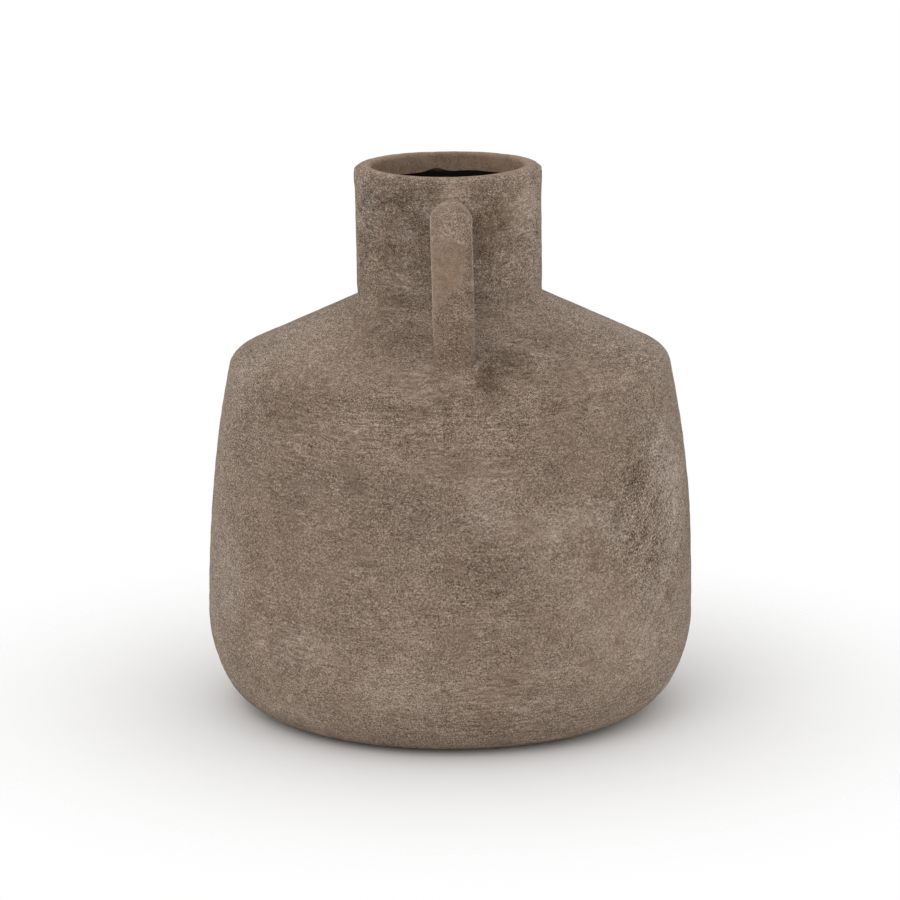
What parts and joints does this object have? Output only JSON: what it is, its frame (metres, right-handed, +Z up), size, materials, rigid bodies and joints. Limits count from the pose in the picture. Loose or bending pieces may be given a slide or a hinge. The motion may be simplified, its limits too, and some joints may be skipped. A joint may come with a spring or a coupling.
{
  "type": "vase",
  "caption": "Terracotta vase with a round body, sloping shoulder, straight neck, rounded lip and a strap handle; holds cut or dried stems, and water on its sealed inside.",
  "frame": {"origin": "centre of the standing face", "axes": "+Z up along the axis of the vase, -Y towards the strap handle"},
  "size_m": [0.25, 0.25, 0.2807],
  "materials": {
    "clay": "matte fired clay under a brushed grey-brown wash",
    "slip": "matte fired slip",
    "sealing_coat": "dark satin sealing coat"
  },
  "bodies": {
    "root": {"base_dish": "clay", "belly_section": "clay", "wall_section": "clay", "shoulder_section": "clay", "neck_collar": "clay", "rim_coil": "clay", "base_joint_slip": "slip", "waist_joint_slip": "slip", "shoulder_joint_slip": "slip", "neck_joint_slip": "slip", "rim_joint_slip": "slip", "strap_handle": "clay", "upper_handle_slip": "slip", "lower_handle_slip": "slip", "upper_wad": "clay", "lower_wad": "clay", "sealing_coat": "sealing_coat"}
  },
  "joints": []
}
